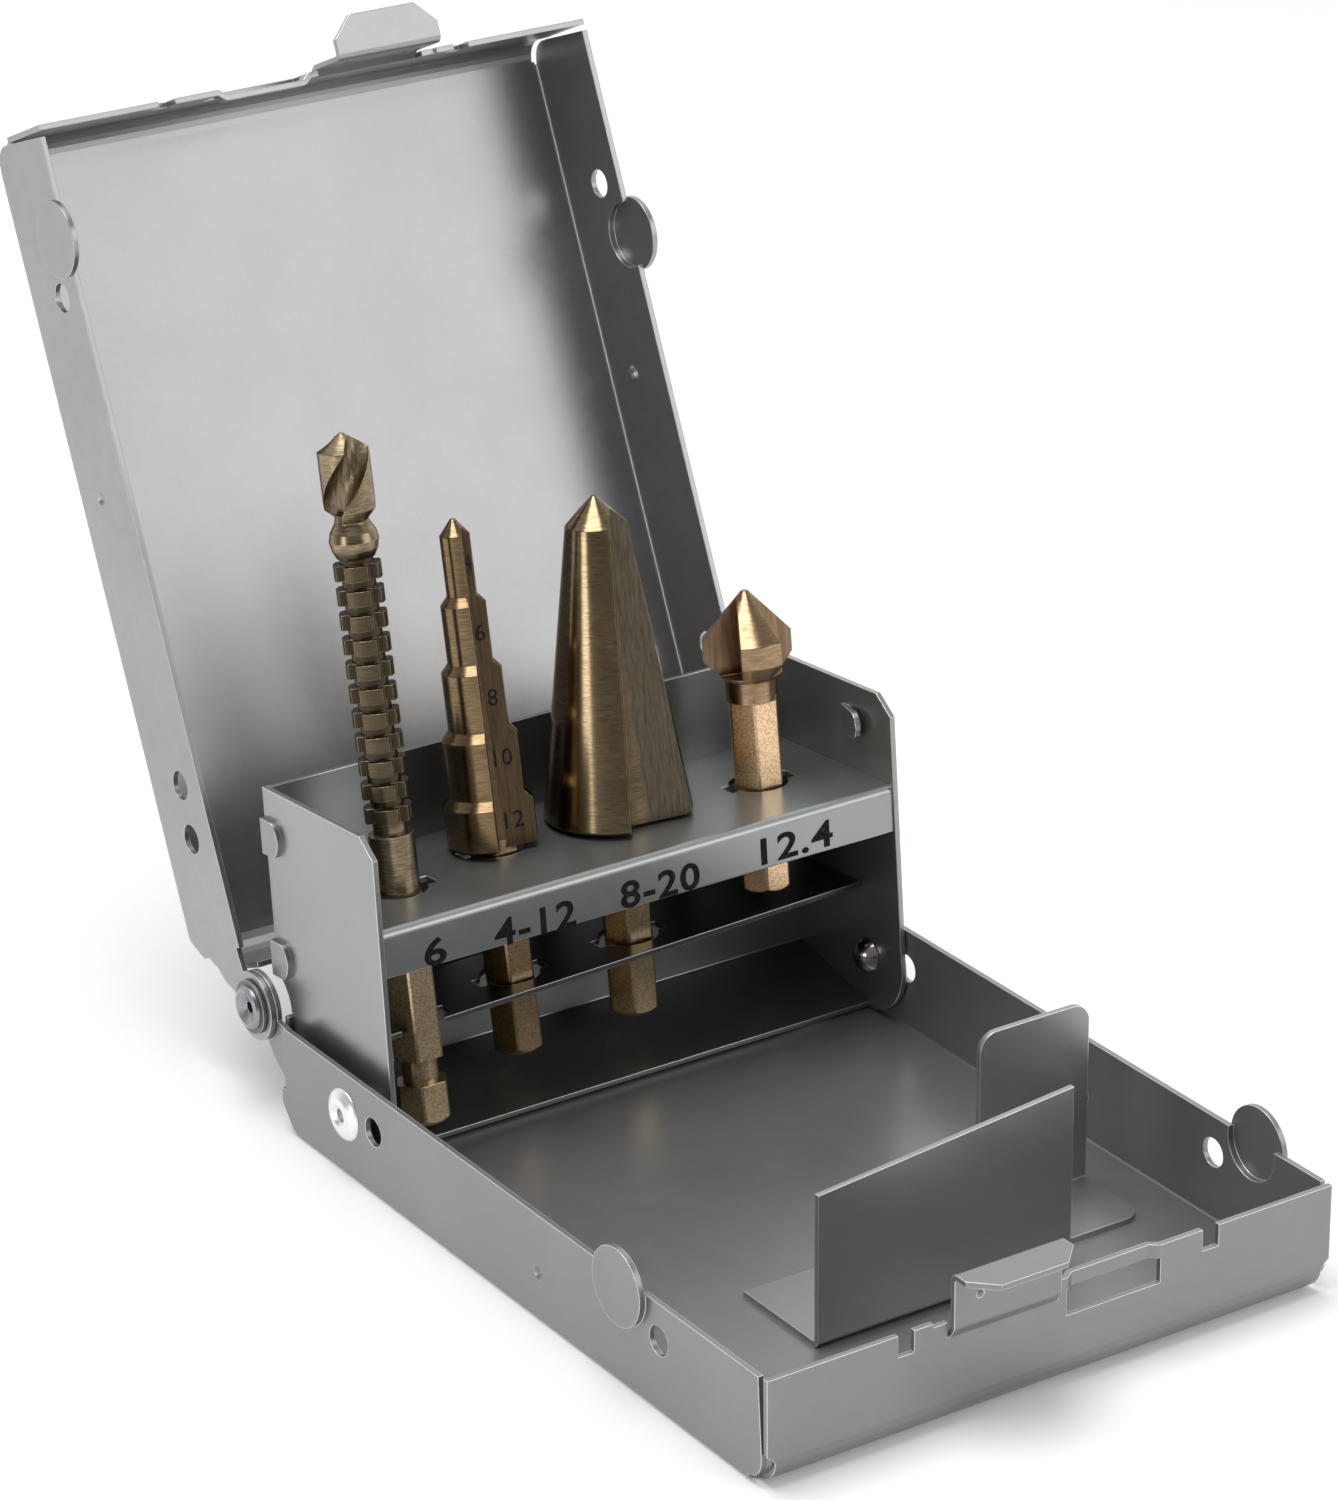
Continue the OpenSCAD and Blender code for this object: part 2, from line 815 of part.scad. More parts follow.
// Two straight flutes, opposite each other. Each is a notch with its corner at (side, depth),
// a broad flat face that falls away by slope degrees, and it leans with the surface of the bit.
module flutes(side, depth, slope, lean) {
    for (a = [0, 180])
        rotate(view_turn + a)
            translate([side, -depth, 0])
                rotate([-lean, 0, 0])
                    translate([0, 0, -2])
                        linear_extrude(60)
                            polygon([[0, 0], [20 * cos(slope), 20 * sin(slope)], [20, -20], [-0.3, -20]]);
}

module step_drill() {
    color([0.45, 0.34, 0.21])
        bit_place(step_at, step_lean) {
            hex_shank(step_end, step_foot + 1);
            difference() {
                rotate_extrude()
                    polygon(step_profile());
                flutes(1, 3, 22, 3.2);
            }
        }
}

cone_tip = 44.2;
cone_shoulder = 40.4;
cone_top_r = 4.1;
cone_end = 27.6;
cone_foot = 0.34;

module cone_drill() {
    color([0.46, 0.35, 0.22])
        bit_place(cone_at, cone_lean) {
            hex_shank(cone_end, cone_foot + 1);
            difference() {
                rotate_extrude()
                    polygon([[0, cone_foot], [cone_d / 2 - 0.4, cone_foot], [cone_d / 2, cone_foot + 0.5],
                        [cone_top_r, cone_shoulder], [0.3, cone_tip], [0, cone_tip]]);
                flutes(1.9, 5.9, 25, 7.2);
            }
        }
}

sink_tip = 26.9;
sink_rim = [17.5, 20.5];
sink_under = 14.9;
sink_neck = 12.4;
sink_end = 15.1;
// Rake face of the first of three flutes, and the opening of each flute
sink_rake = -199;
sink_open = 77;

module countersink() {
    color([0.56, 0.44, 0.31])
        bit_place(sink_at, sink_lean) {
            hex_shank(sink_end, sink_neck);
            translate([0, 0, sink_neck - 0.5])
                cylinder(h = sink_under - sink_neck + 1, r = bar_r - 0.05);
            difference() {
                rotate_extrude()
                    polygon([[0, sink_under], [bar_r + 0.1, sink_under], [sink_d / 2, sink_rim[0]],
                        [sink_d / 2, sink_rim[1]], [0.5, sink_tip], [0, sink_tip]]);
                for (a = [0, 120, 240])
                    rotate(sink_rake + a)
                        translate([1.2, 0, sink_under + 0.6])
                            linear_extrude(20)
                                polygon([[0, 0], [20, 0], [20, 20], [20 * cos(sink_open), 20 * sin(sink_open)]]);
            }
        }
}

base_shell();
lid_shell();
hinge_eyelet_left();
hinge_eyelet_right();
hinge_washer_left();
hinge_washer_right();
rack_cheek_left();
rack_cheek_right();
rack_shelf();
rack_back_plate();
rack_lower_shelf();
pivot_rivet_left();
pivot_rivet_right();
pivot_dome_left();
pivot_dome_right();
pivot_spacer_left();
pivot_washer_right();
bit_retainer();
saw_drill();
step_drill();
cone_drill();
countersink();
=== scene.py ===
import math

import bpy
from mathutils import Matrix, Vector


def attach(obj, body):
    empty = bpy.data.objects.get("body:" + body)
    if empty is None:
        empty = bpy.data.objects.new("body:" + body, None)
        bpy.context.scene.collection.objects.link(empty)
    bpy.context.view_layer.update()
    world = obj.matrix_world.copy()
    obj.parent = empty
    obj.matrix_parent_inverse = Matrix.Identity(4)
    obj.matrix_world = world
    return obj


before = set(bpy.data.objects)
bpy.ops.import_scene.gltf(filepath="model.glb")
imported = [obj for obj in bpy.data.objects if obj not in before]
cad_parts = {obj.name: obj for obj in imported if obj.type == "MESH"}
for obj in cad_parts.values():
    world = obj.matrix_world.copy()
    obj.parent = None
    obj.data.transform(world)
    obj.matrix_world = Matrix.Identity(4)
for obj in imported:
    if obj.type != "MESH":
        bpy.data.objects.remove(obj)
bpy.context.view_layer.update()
scene = bpy.context.scene
scene.view_settings.view_transform = "Standard"

# ---------------------------------------------------------------------------
# Table and studio.
# A white sheet lies under the case, runs off behind it and keeps its shadow. Soft lamps
# stand low on the left, in front on the right, and above.
# ---------------------------------------------------------------------------


def maths(tree, kind, a, b=None, c=None):
    """One step of arithmetic with sockets and numbers."""
    step = tree.nodes.new("ShaderNodeMath")
    step.operation = kind
    for i, value in enumerate((a, b, c)):
        if isinstance(value, (int, float)):
            step.inputs[i].default_value = value
        elif value is not None:
            tree.links.new(value, step.inputs[i])
    return step.outputs[0]


def vectors(tree, kind, a, b=None):
    """One step with directions. A dot product and a length come out as a number."""
    step = tree.nodes.new("ShaderNodeVectorMath")
    step.operation = kind
    for i, value in enumerate((a, b)):
        if isinstance(value, tuple):
            step.inputs[i].default_value = value
        elif value is not None:
            tree.links.new(value, step.inputs[i])
    return step.outputs["Value" if kind in ("DOT_PRODUCT", "LENGTH") else "Vector"]


def spread(tree, value, low, high, to_low=0.0, to_high=1.0, kind="LINEAR"):
    """Stretches the span from low to high over another one, and holds its ends."""
    step = tree.nodes.new("ShaderNodeMapRange")
    step.interpolation_type = kind
    tree.links.new(value, step.inputs["Value"])
    step.inputs["From Min"].default_value = low
    step.inputs["From Max"].default_value = high
    step.inputs["To Min"].default_value = to_low
    step.inputs["To Max"].default_value = to_high
    return step.outputs[0]


def white_for_view(tree, shaded, strength):
    """Adds an even white to a shader, for rays from the camera and for reflections."""
    path = tree.nodes.new("ShaderNodeLightPath")
    seen = maths(tree, "MAXIMUM", path.outputs["Is Camera Ray"], path.outputs["Is Glossy Ray"])
    through = maths(tree, "MAXIMUM", seen, path.outputs["Is Transmission Ray"])
    glow = tree.nodes.new("ShaderNodeEmission")
    glow.inputs["Color"].default_value = (1, 1, 1, 1)
    glow.inputs["Strength"].default_value = strength
    off = tree.nodes.new("ShaderNodeEmission")
    off.inputs["Strength"].default_value = 0
    pick = tree.nodes.new("ShaderNodeMixShader")
    tree.links.new(through, pick.inputs[0])
    tree.links.new(off.outputs[0], pick.inputs[1])
    tree.links.new(glow.outputs[0], pick.inputs[2])
    both = tree.nodes.new("ShaderNodeAddShader")
    tree.links.new(shaded.outputs[0], both.inputs[0])
    tree.links.new(pick.outputs[0], both.inputs[1])
    return both


paper = bpy.data.materials.new("white_paper")
paper.use_nodes = True
paper.node_tree.nodes.clear()
paper_face = paper.node_tree.nodes.new("ShaderNodeBsdfDiffuse")
paper_face.inputs["Color"].default_value = (0.80, 0.79, 0.80, 1)
paper_glow = 0.14
paper_sum = white_for_view(paper.node_tree, paper_face, paper_glow)
paper_out = paper.node_tree.nodes.new("ShaderNodeOutputMaterial")
paper.node_tree.links.new(paper_sum.outputs[0], paper_out.inputs["Surface"])

paper_side = 12
paper_gap = 0.00005
bpy.ops.object.select_all(action="DESELECT")
bpy.ops.mesh.primitive_plane_add(size=paper_side, location=(0, 0, -paper_gap))
floor = bpy.context.object
floor.name = "paper_floor"
bpy.ops.object.transform_apply(location=True, rotation=True, scale=True)
floor.data.materials.append(paper)

world = bpy.data.worlds.new("studio")
scene.world = world
world.use_nodes = True
sky = world.node_tree.nodes["Background"]
sky.inputs["Color"].default_value = (0.98, 0.985, 1.0, 1)
# a white backdrop behind the case, and a dim room on the near side
away = (0.553, 0.833, 0)
dim_room, white_backdrop = 0.25, 1.05
look = world.node_tree.nodes.new("ShaderNodeTexCoord")
behind = vectors(world.node_tree, "DOT_PRODUCT", look.outputs["Generated"], away)
fade = spread(world.node_tree, behind, -0.3, 0.75, dim_room, white_backdrop, "SMOOTHSTEP")
world.node_tree.links.new(fade, sky.inputs["Strength"])


def soft_lamp(name, place, target, size, power):
    """Hangs a square soft box at a place and turns it to a target."""
    lamp = bpy.data.lights.new(name, "AREA")
    lamp.shape = "SQUARE"
    lamp.size = size
    lamp.energy = power
    holder = bpy.data.objects.new(name, lamp)
    scene.collection.objects.link(holder)
    holder.location = place
    holder.rotation_euler = (Vector(target) - Vector(place)).to_track_quat("-Z", "Y").to_euler()


soft_lamp("lamp_right", (0.62, -0.86, 0.55), (0, 0.08, 0.08), size=0.8, power=3.9)
soft_lamp("lamp_left", (-1.04, -0.14, 0.18), (0, 0.04, 0.05), size=0.34, power=1.85)
soft_lamp("lamp_top", (-0.20, 0.10, 1.2), (0, 0, 0.0), size=0.8, power=11.5)

# The camera stands at the photograph's angle. Its place, turn and lens were fitted to about
# sixty points of the case.
camera_place = (-0.36226, -0.52017, 0.34289)
turn, rise, roll = math.radians(-33.57), math.radians(23.83), math.radians(-0.48)
back = Vector((math.sin(turn) * math.cos(rise), -math.cos(turn) * math.cos(rise), math.sin(rise)))
level = Vector((0, 0, 1)).cross(back).normalized()
upward = back.cross(level)
right = math.cos(roll) * level + math.sin(roll) * upward
upward = -math.sin(roll) * level + math.cos(roll) * upward
lens = bpy.data.cameras.new("camera")
lens.sensor_fit = "VERTICAL"
lens.sensor_height = 36
lens.lens = 134.53
lens.shift_x = -0.0030
lens.shift_y = 0.0041
lens.clip_start = 0.01
lens.clip_end = 20
camera = bpy.data.objects.new("camera", lens)
scene.collection.objects.link(camera)
facing_case = Matrix((right, upward, back)).transposed().to_4x4()
camera.matrix_world = Matrix.Translation(camera_place) @ facing_case
scene.camera = camera

# ---------------------------------------------------------------------------
# Base and lid.
# Two equal stampings of zinc coated sheet steel, folded and spot welded. The skin is satin and
# slightly mottled; sheared edges and bends are lightened as rubbed wear and painted highlight.
# ---------------------------------------------------------------------------

mm = 0.001


def mixed(tree, factor, a, b):
    """Blends two colours, each a socket or a plain colour."""
    step = tree.nodes.new("ShaderNodeMix")
    step.data_type = "RGBA"
    tree.links.new(factor, step.inputs["Factor"])
    for key, value in (("A", a), ("B", b)):
        if isinstance(value, tuple):
            step.inputs[key].default_value = (*value, 1)
        else:
            tree.links.new(value, step.inputs[key])
    return step.outputs["Result"]


def noise(tree, vector, scale, detail, rough_steps=0.5):
    """A cloudy pattern with so many waves to the metre."""
    step = tree.nodes.new("ShaderNodeTexNoise")
    step.inputs["Scale"].default_value = scale
    step.inputs["Detail"].default_value = detail
    step.inputs["Roughness"].default_value = rough_steps
    tree.links.new(vector, step.inputs["Vector"])
    return step.outputs["Fac"]


def open_finish(name, shine):
    """Starts a finish: one metal face in front of its output, and the places on the piece."""
    mat = bpy.data.materials.new(name)
    mat.use_nodes = True
    tree = mat.node_tree
    tree.nodes.clear()
    out = tree.nodes.new("ShaderNodeOutputMaterial")
    face = tree.nodes.new("ShaderNodeBsdfPrincipled")
    tree.links.new(face.outputs[0], out.inputs["Surface"])
    face.inputs["Metallic"].default_value = shine
    where = tree.nodes.new("ShaderNodeTexCoord")
    return mat, tree, face, where


def rounded_edges(tree, radius, samples):
    """Rounds the light at sharp edges, and tells how well that agrees with the flat face."""
    rounded = tree.nodes.new("ShaderNodeBevel")
    rounded.samples = samples
    rounded.inputs["Radius"].default_value = radius
    flat = tree.nodes.new("ShaderNodeNewGeometry")
    agree = vectors(tree, "DOT_PRODUCT", rounded.outputs[0], flat.outputs["Normal"])
    return rounded.outputs[0], agree


def raise_grain(tree, face, pattern, strength, depth, normal):
    """Lets a pattern stand up from the face by a small depth."""
    relief = tree.nodes.new("ShaderNodeBump")
    relief.inputs["Strength"].default_value = strength
    relief.inputs["Distance"].default_value = depth
    tree.links.new(pattern, relief.inputs["Height"])
    tree.links.new(normal, relief.inputs["Normal"])
    tree.links.new(relief.outputs[0], face.inputs["Normal"])


def sheet_steel(name, light, dark, rough, shine, mottle, edge_highlight_and_wear):
    """Satin sheet steel: soft cloudy tone, fine grain, and edges lightened as rubbed wear and
    painted highlight.
    """
    mat, tree, face, where = open_finish(name, shine)
    # clouds some 25 mm across, grain of 2 to 3 mm and pores below 1 mm
    cloud = noise(tree, where.outputs["Object"], 38, 3, 0.55)
    grain = noise(tree, where.outputs["Object"], 420, 4, 0.7)
    pores = noise(tree, where.outputs["Object"], 1500, 2)

    tone = spread(tree, maths(tree, "MULTIPLY_ADD", grain, mottle, cloud),
                  0.32 + mottle * 0.4, 0.66 + mottle * 0.6)
    skin = mixed(tree, tone, dark, light)
    # edges and bends are lightened where the rounded light leaves the flat face: rubbed wear and
    # a painted highlight
    rounded, agree = rounded_edges(tree, 0.20 * mm, 8)
    rubbed_and_highlit = spread(tree, agree, 0.985, 0.86)
    tree.links.new(mixed(tree, rubbed_and_highlit, skin, edge_highlight_and_wear), face.inputs["Base Color"])
    tree.links.new(spread(tree, grain, 0.3, 0.7, rough - 0.015, rough + 0.02),
                   face.inputs["Roughness"])
    raise_grain(tree, face, pores, 0.12, 0.04 * mm, rounded)
    return mat


def finish_node(name, mat):
    """Gives a node of the model its finish, in the slots that it already has."""
    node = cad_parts[name]
    if not node.material_slots:
        node.data.materials.append(mat)
    for slot in node.material_slots:
        slot.material = mat


base_steel = sheet_steel("base_steel", (0.285, 0.288, 0.284), (0.25, 0.253, 0.25),
                         rough=0.31, shine=0.65, mottle=0.3, edge_highlight_and_wear=(0.92, 0.93, 0.93))
# painted light: the lid is the same steel as the base, given a lighter tone for the light that
# falls into its open inside
lid_steel_painted_light = sheet_steel("lid_steel_painted_light", (0.385, 0.38, 0.382), (0.335, 0.33, 0.332),
                        rough=0.34, shine=0.92, mottle=0.9, edge_highlight_and_wear=(0.62, 0.63, 0.63))
finish_node("base_shell", base_steel)
finish_node("lid_shell", lid_steel_painted_light)

# ---------------------------------------------------------------------------
# Hinge.
# Two rolled eyelets of plain steel hold the ears of the lid and the base, each with a
# darker washer under its outer head.
# ---------------------------------------------------------------------------

eyelet_steel = sheet_steel("eyelet_steel", (0.36, 0.37, 0.38), (0.22, 0.225, 0.23),
                           rough=0.28, shine=1.0, mottle=0.6, edge_highlight_and_wear=(0.75, 0.76, 0.78))
washer_steel = sheet_steel("washer_steel", (0.20, 0.205, 0.21), (0.12, 0.122, 0.125),
                           rough=0.42, shine=0.9, mottle=0.6, edge_highlight_and_wear=(0.5, 0.5, 0.5))
for side in ("left", "right"):
    finish_node("hinge_eyelet_" + side, eyelet_steel)
    finish_node("hinge_washer_" + side, washer_steel)

# ---------------------------------------------------------------------------
# Rack.
# Side plates, shelf with folded flange, rear plate and thin guide shelf, all bent from the
# same zinc coated sheet and swung up about the two rivets at their feet.
# ---------------------------------------------------------------------------

rack_steel = sheet_steel("rack_steel", (0.355, 0.37, 0.365), (0.32, 0.333, 0.327),
                         rough=0.30, shine=0.85, mottle=0.25, edge_highlight_and_wear=(0.88, 0.89, 0.89))
# painted shade: the guide shelf and the rear plate are the same sheet as the rest of the rack,
# given darker tones for the shade inside the rack
guide_steel_painted_shade = sheet_steel("guide_steel_painted_shade", (0.16, 0.165, 0.16), (0.12, 0.125, 0.12),
                          rough=0.36, shine=1.0, mottle=0.3, edge_highlight_and_wear=(0.6, 0.6, 0.6))
plate_steel_painted_shade = sheet_steel("plate_steel_painted_shade", (0.315, 0.325, 0.32), (0.28, 0.29, 0.285),
                          rough=0.30, shine=0.90, mottle=0.25, edge_highlight_and_wear=(0.80, 0.81, 0.81))
for name in ("rack_cheek_left", "rack_cheek_right", "rack_shelf"):
    finish_node(name, rack_steel)
finish_node("rack_back_plate", plate_steel_painted_shade)
finish_node("rack_lower_shelf", guide_steel_painted_shade)

# The rack leans back by five degrees about its pivot.
pivot = (0, 39.2 * mm, 8.8 * mm)
rack_place = Matrix.Translation(pivot) @ Matrix.Rotation(math.radians(-5), 4, "X")

# ---------------------------------------------------------------------------
# Printed sizes.
# The drill sizes are stamped in black ink on the front flange of the shelf, one under
# each bit.
# ---------------------------------------------------------------------------

ink = bpy.data.materials.new("black_ink")
ink.use_nodes = True
ink_face = ink.node_tree.nodes["Principled BSDF"]
ink_face.inputs["Roughness"].default_value = 0.6
ink_face.inputs["Specular IOR Level"].default_value = 0.15
ink_where = ink.node_tree.nodes.new("ShaderNodeTexCoord")
ink_speck = noise(ink.node_tree, ink_where.outputs["Object"], 2600, 3)
ink_ramp = ink.node_tree.nodes.new("ShaderNodeValToRGB")
ink_ramp.color_ramp.elements[0].position = 0.30
ink_ramp.color_ramp.elements[0].color = (0.03, 0.03, 0.03, 1)
ink_ramp.color_ramp.elements[1].position = 0.48
ink_ramp.color_ramp.elements[1].color = (0.006, 0.006, 0.007, 1)
ink.node_tree.links.new(ink_speck, ink_ramp.inputs["Fac"])
ink.node_tree.links.new(ink_ramp.outputs["Color"], ink_face.inputs["Base Color"])


def stamped_number(name, words, place, width, height, mat, body, weight):
    """Cuts the outline of a number from a film of ink and lays it on a face."""
    bpy.ops.object.select_all(action="DESELECT")
    bpy.ops.object.text_add()
    mark = bpy.context.object
    mark.name = name
    mark.data.body = words
    mark.data.size = 1
    mark.data.offset = weight
    mark.data.space_character = 1.1
    mark.data.align_x = "CENTER"
    mark.data.align_y = "CENTER"
    mark.data.extrude = 0.5
    mark.data.resolution_u = 6
    bpy.ops.object.convert(target="MESH")
    mark = bpy.context.object
    film = 0.00003
    fit = Matrix.Diagonal((width / mark.dimensions.x, height / mark.dimensions.y, film, 1))
    middle = sum((Vector(c) for c in mark.bound_box), Vector()) / 8
    upright = Matrix.Rotation(math.radians(90), 4, "X")
    mark.matrix_world = place @ upright @ fit @ Matrix.Translation(-middle)
    bpy.ops.object.transform_apply(location=True, rotation=True, scale=True)
    mark.data.materials.clear()
    mark.data.materials.append(mat)
    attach(mark, body)


flange_face = -7.41
flange_figures = 3.8
for name, words, x, up, width in (("size_6", "6", -31.4, 21.9, 3.3),
                                  ("size_4_12", "4-12", -16.3, 21.8, 12.4),
                                  ("size_8_20", "8-20", 3.1, 22.0, 12.4),
                                  ("size_12_4", "12.4", 24.9, 22.5, 11.6)):
    place = rack_place @ Matrix.Translation((x * mm, flange_face * mm, up * mm))
    stamped_number(name, words, place, width * mm, flange_figures * mm, ink,
                   "rack", weight=0.022)

# ---------------------------------------------------------------------------
# Pivots of the rack.
# Blind rivets of bright aluminium pass through the side walls, with round steel heads
# inside, a spacer on the left and a thin washer on the right.
# ---------------------------------------------------------------------------

rivet_metal = sheet_steel("rivet_metal", (0.92, 0.92, 0.93), (0.84, 0.84, 0.85),
                          rough=0.34, shine=1.0, mottle=0.5, edge_highlight_and_wear=(0.92, 0.92, 0.93))
dome_metal = sheet_steel("dome_metal", (0.56, 0.52, 0.52), (0.36, 0.32, 0.32),
                         rough=0.18, shine=1.0, mottle=0.5, edge_highlight_and_wear=(0.8, 0.78, 0.78))
for side in ("left", "right"):
    finish_node("pivot_rivet_" + side, rivet_metal)
    finish_node("pivot_dome_" + side, dome_metal)
finish_node("pivot_spacer_left", washer_steel)
finish_node("pivot_washer_right", washer_steel)

# ---------------------------------------------------------------------------
# Retainer.
# A folded plate spot welded to the floor. Its two uprights keep the bits from sliding
# when the case is shut.
# ---------------------------------------------------------------------------

retainer_steel = sheet_steel("retainer_steel", (0.37, 0.375, 0.375), (0.335, 0.34, 0.34),
                             rough=0.32, shine=0.82, mottle=0.25,
                             edge_highlight_and_wear=(0.92, 0.93, 0.93))
finish_node("bit_retainer", retainer_steel)

# ---------------------------------------------------------------------------
# Bits.
# High speed steel, ground and then coated a dark gold bronze. The grinding marks show as
# fine lines, round the turned parts and along the flat faces.
# ---------------------------------------------------------------------------

shelf_up = 26.5


def bit_frame(x, v, lean, side):
    """Frame of a bit: it starts at the shelf of the rack and has the bit's axis along Z."""
    return (rack_place @ Matrix.Translation((x * mm, v * mm, shelf_up * mm))
            @ Matrix.Rotation(math.radians(side), 4, "Y")
            @ Matrix.Rotation(math.radians(-lean), 4, "X"))


def shade(colour, times):
    """The same colour, lighter or darker."""
    return tuple(times * part for part in colour)


def stretched(tree, vector, scale, turned=(0, 0, 0)):
    """Places drawn out along an axis, so that a pattern on them turns into lines."""
    step = tree.nodes.new("ShaderNodeMapping")
    step.inputs["Scale"].default_value = scale
    step.inputs["Rotation"].default_value = turned
    tree.links.new(vector, step.inputs["Vector"])
    return step.outputs[0]


def bronze_coat(name, place, light, dark, ground_face, rough, shank_top=0.0, teeth=None,
                slant=0.0):
    """Bronze oxide on ground steel. Round faces are polished, flat faces keep grinding lines."""
    mat, tree, face, where = open_finish(name, 1.0)
    upright = tree.nodes.new("ShaderNodeMapping")
    upright.vector_type = "TEXTURE"
    upright.inputs["Location"].default_value = place.to_translation()
    upright.inputs["Rotation"].default_value = place.to_euler()
    tree.links.new(where.outputs["Object"], upright.inputs["Vector"])
    at = upright.outputs[0]
    parts = tree.nodes.new("ShaderNodeSeparateXYZ")
    tree.links.new(at, parts.inputs[0])
    height = parts.outputs["Z"]

    # how far a face looks straight out from the axis: 1 on turned faces, less on flutes
    facing = tree.nodes.new("ShaderNodeMapping")
    facing.vector_type = "VECTOR"
    facing.inputs["Rotation"].default_value = (-place.to_euler().x, 0, 0)
    tree.links.new(where.outputs["Normal"], facing.inputs["Vector"])
    level_only = (1, 1, 0)
    outward = vectors(tree, "MULTIPLY", at, level_only)
    looking = vectors(tree, "MULTIPLY", facing.outputs[0], level_only)
    agree = vectors(tree, "DOT_PRODUCT", vectors(tree, "NORMALIZE", outward),
                    vectors(tree, "NORMALIZE", looking))
    blur = 0.2 * mm
    shank = spread(tree, height, shank_top * mm + blur, shank_top * mm - blur)
    above = maths(tree, "SUBTRACT", 1.0, shank)
    cut = maths(tree, "MULTIPLY", spread(tree, agree, 0.985, 0.95), above)

    # rings on turned faces, lines along flat ones, stains of 5 mm and specks of 0.3 mm
    turned = noise(tree, stretched(tree, at, (0.12, 0.12, 1)), 5200, 3)
    ground = noise(tree, stretched(tree, at, (1, 1, 0.04), (0, slant, 0)), 2600, 5, 0.7)
    stain = noise(tree, stretched(tree, at, (0.5, 0.5, 1)), 190, 3)
    speck = noise(tree, where.outputs["Object"], 3600, 3, 0.6)
    lines = tree.nodes.new("ShaderNodeMix")
    lines.data_type = "FLOAT"
    tree.links.new(cut, lines.inputs["Factor"])
    tree.links.new(turned, lines.inputs["A"])
    tree.links.new(ground, lines.inputs["B"])
    grain = lines.outputs["Result"]

    tone = spread(tree, maths(tree, "MULTIPLY_ADD", stain, 0.45, grain), 0.45, 1.0)
    polished = mixed(tree, tone, dark, light)
    matt = mixed(tree, spread(tree, grain, 0.30, 0.70),
                 shade(ground_face, 0.5), shade(ground_face, 1.2))
    coat = mixed(tree, cut, polished, matt)
    # the hexagon shank is not polished: gold flats with dark specks, painted paler than the coat,
    # partly as painted light on the flats
    flecked = mixed(tree, spread(tree, speck, 0.38, 0.55), shade(light, 1.2), shade(light, 2.05))
    coat = mixed(tree, shank, coat, flecked)
    if teeth:
        # painted shade over the rows of teeth, deepest down between them and lighter towards
        # their tips
        low, high, valley, tip = (size * mm for size in teeth)
        inside = maths(tree, "MULTIPLY", spread(tree, height, low, low + 1 * mm),
                       spread(tree, height, high, high - 1 * mm))
        teeth_painted_shade = spread(tree, vectors(tree, "LENGTH", outward), valley, tip, 1.0, 0.6)
        coat = mixed(tree, maths(tree, "MULTIPLY", inside, teeth_painted_shade), coat, shade(dark, 0.55))

    # painted shade in the corners, from an occlusion test
    corner = tree.nodes.new("ShaderNodeAmbientOcclusion")
    corner.samples = 8
    corner.inputs["Distance"].default_value = 1.8 * mm
    painted_corner_shade = maths(tree, "MULTIPLY_ADD", corner.outputs["AO"], -0.95, 0.95)
    coat = mixed(tree, painted_corner_shade, coat, shade(dark, 0.25))
    # bare bright lines on the sharp edges
    rounded, edge_agree = rounded_edges(tree, 0.16 * mm, 6)
    worn = maths(tree, "MULTIPLY", spread(tree, edge_agree, 0.985, 0.88, 0, 0.8),
                 spread(tree, speck, 0.35, 0.6))
    tree.links.new(mixed(tree, worn, coat, shade(light, 1.5)), face.inputs["Base Color"])

    # flat faces and the shank are less smooth than the polished ones
    dull = maths(tree, "ADD", maths(tree, "MULTIPLY_ADD", cut, 0.12, rough),
                 maths(tree, "MULTIPLY", shank, 0.04))
    tree.links.new(dull, face.inputs["Roughness"])
    raise_grain(tree, face, grain, 0.08, 0.03 * mm, rounded)
    return mat


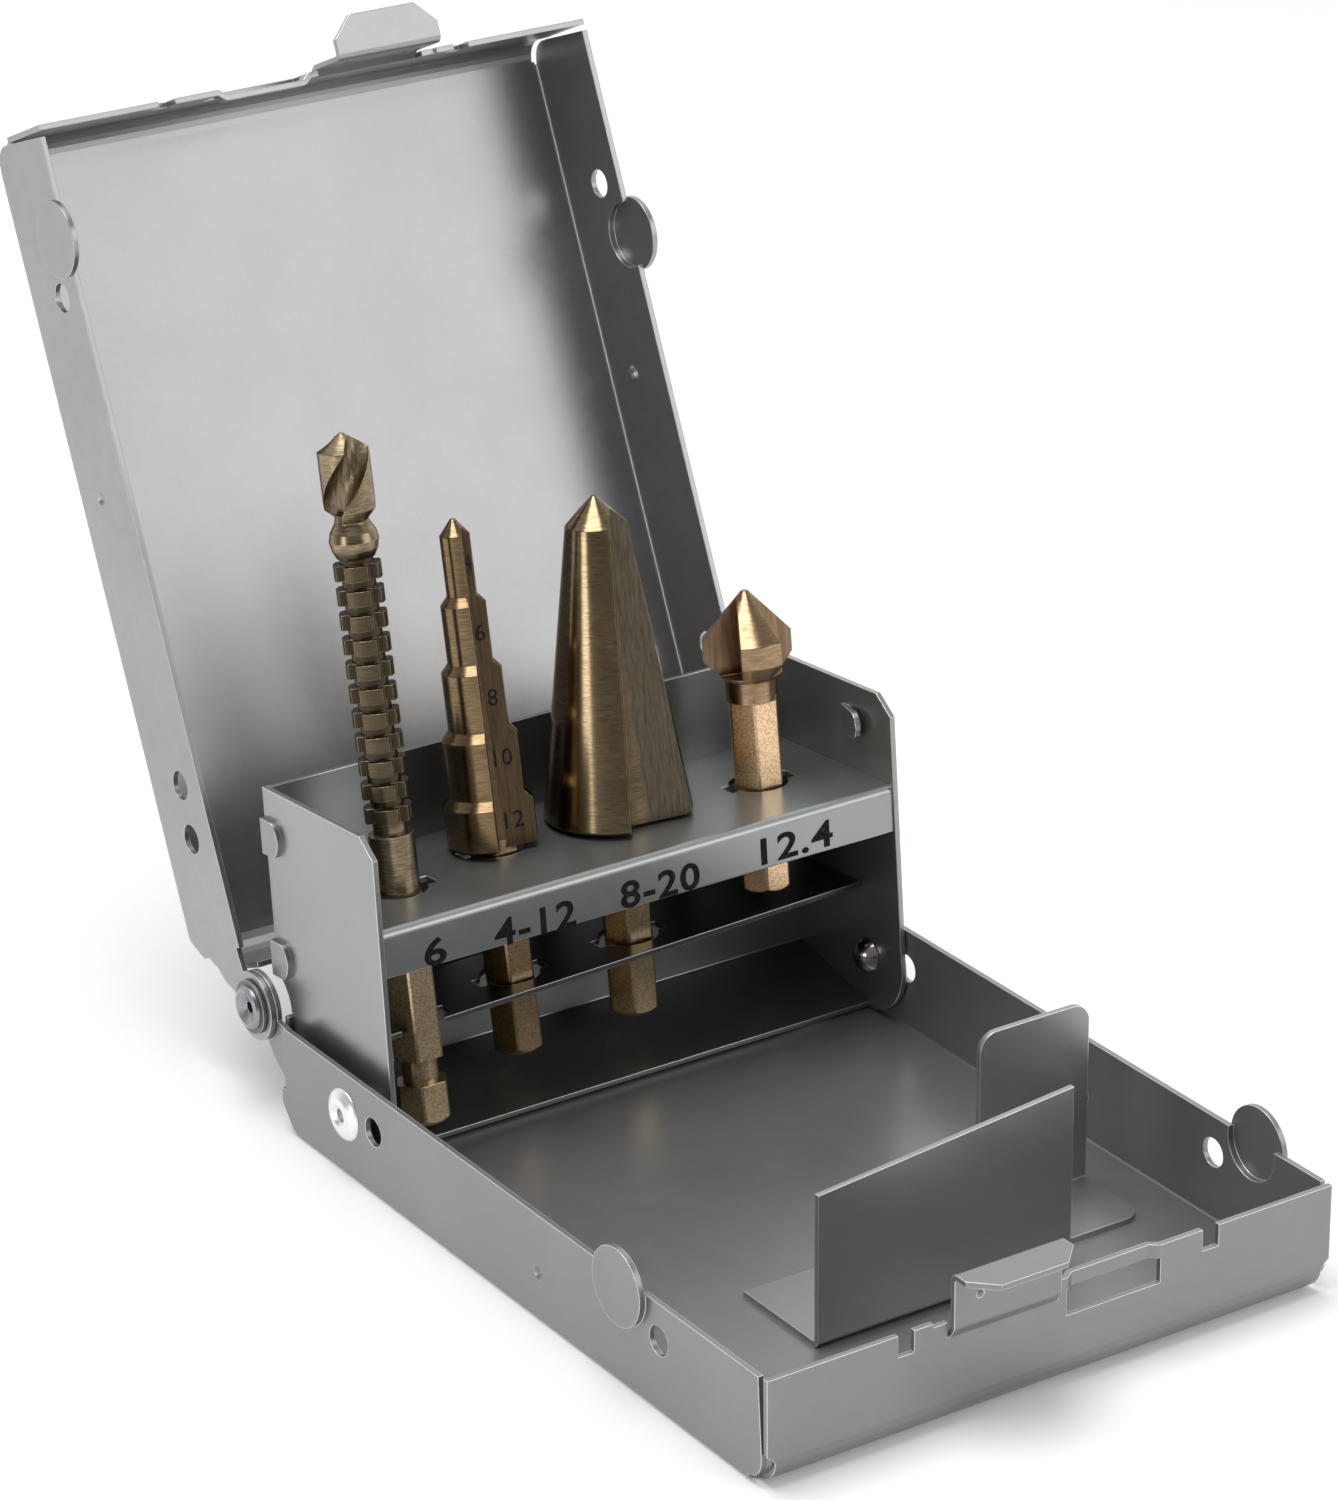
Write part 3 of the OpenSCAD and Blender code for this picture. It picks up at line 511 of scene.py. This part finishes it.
# The combined twist drill and saw: golden head, rows of teeth darkened with painted shade, turned
# collar.
# The teeth run from 8.5 to 46 mm up the bit, 2.7 to 3.6 mm out from its axis.
saw_frame = bit_frame(-29.3, 4.8, lean=4.9, side=-0.2)
saw_coat = bronze_coat("saw_coat", saw_frame, (0.40, 0.31, 0.19), (0.12, 0.095, 0.06),
                       (0.25, 0.195, 0.12), rough=0.26, teeth=(8.5, 46, 2.7, 3.6), slant=0.75)
finish_node("saw_drill", saw_coat)

# The step drill: five turned steps and two straight flutes with the step sizes on the flat.
step_frame = bit_frame(-11.9, 9.2, lean=5.4, side=-0.3)
step_coat = bronze_coat("step_coat", step_frame, (0.29, 0.205, 0.112), (0.12, 0.08, 0.043),
                        (0.125, 0.087, 0.048), rough=0.21)
finish_node("step_drill", step_coat)
bit_ink = ink.copy()
bit_ink.name = "etched_black"
# the flat of the near flute: its place round the axis, its taper and the way that it faces
step_flat = (step_frame @ Matrix.Rotation(math.radians(-33.6), 4, "Z")
             @ Matrix.Translation((1.0 * mm, -3 * mm, 0))
             @ Matrix.Rotation(math.radians(-3.2), 4, "X")
             @ Matrix.Rotation(math.radians(22), 4, "Z"))
step_figures = 2.2
proud = 0.01
for words, along, up, width in (("4", 0.42, 38.8, 0.75), ("6", 0.85, 29.4, 1.35),
                                ("8", 1.5, 20.6, 1.35), ("10", 1.9, 12.5, 2.5),
                                ("12", 2.45, 4.1, 2.6)):
    place = step_flat @ Matrix.Translation((along * mm, -proud * mm, up * mm))
    stamped_number("step_size_" + words, words, place, width * mm, step_figures * mm, bit_ink,
                   "step_drill", weight=0.0)

# The cone drill: one smooth cone with two straight flutes.
cone_frame = bit_frame(7.1, 8.2, lean=1.8, side=0.1)
cone_coat = bronze_coat("cone_coat", cone_frame, (0.30, 0.228, 0.132), (0.14, 0.10, 0.055),
                        (0.135, 0.112, 0.078), rough=0.20)
finish_node("cone_drill", cone_coat)

# The countersink: three flutes in a ninety degree cone. Its shank reaches 11.9 mm above
# the shelf.
sink_frame = bit_frame(28.3, 6.2, lean=2.1, side=0.1)
sink_coat = bronze_coat("sink_coat", sink_frame, (0.44, 0.31, 0.185), (0.20, 0.13, 0.07),
                        (0.30, 0.20, 0.12), rough=0.24, shank_top=11.9)
finish_node("countersink", sink_coat)
